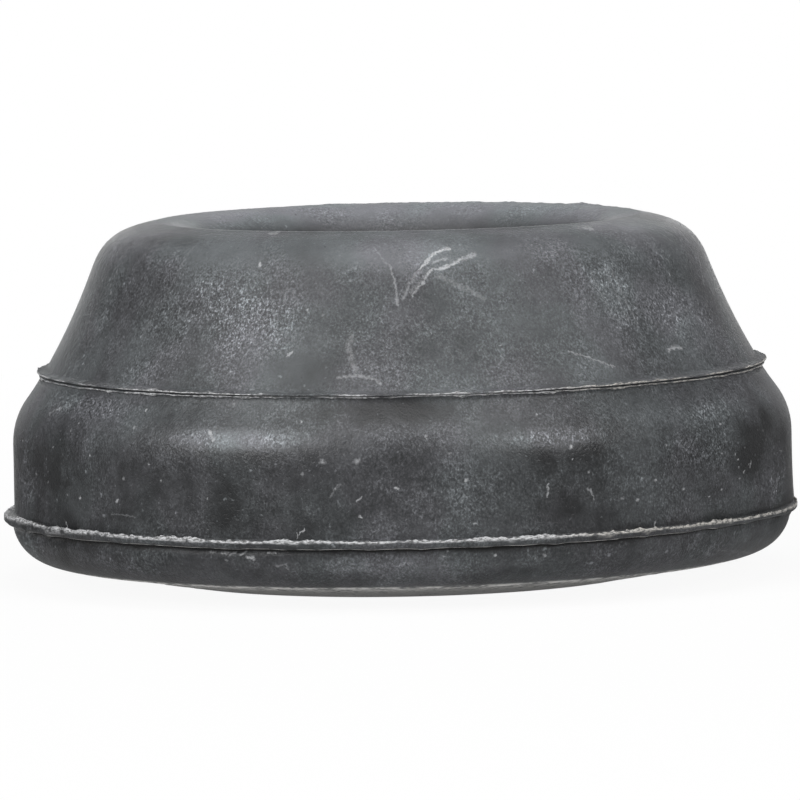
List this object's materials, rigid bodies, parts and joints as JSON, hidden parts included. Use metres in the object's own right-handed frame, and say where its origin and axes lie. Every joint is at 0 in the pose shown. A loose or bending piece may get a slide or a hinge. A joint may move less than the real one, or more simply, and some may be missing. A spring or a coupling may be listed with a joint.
{
  "type": "trailing arm bushing",
  "caption": "Round rubber cushion for a trailing arm, with a conical nose that rolls into a plain through bore, an upright band, a shallow cone underneath and fine rings of mould flash.",
  "frame": {"origin": "middle of the underside, on the turning axis, at the height of the flat pad that the part stands on", "axes": "+Z along the bore, from the underside to the crest of the conical nose; the part is turned about Z, so X and Y are free"},
  "size_m": [0.078, 0.078, 0.0348],
  "materials": {
    "black_rubber": "dull moulded rubber with a pale dusty bloom, fine grain, scratches and light torn flash"
  },
  "bodies": {
    "root": {"rubber_bushing": "black_rubber"}
  },
  "joints": []
}
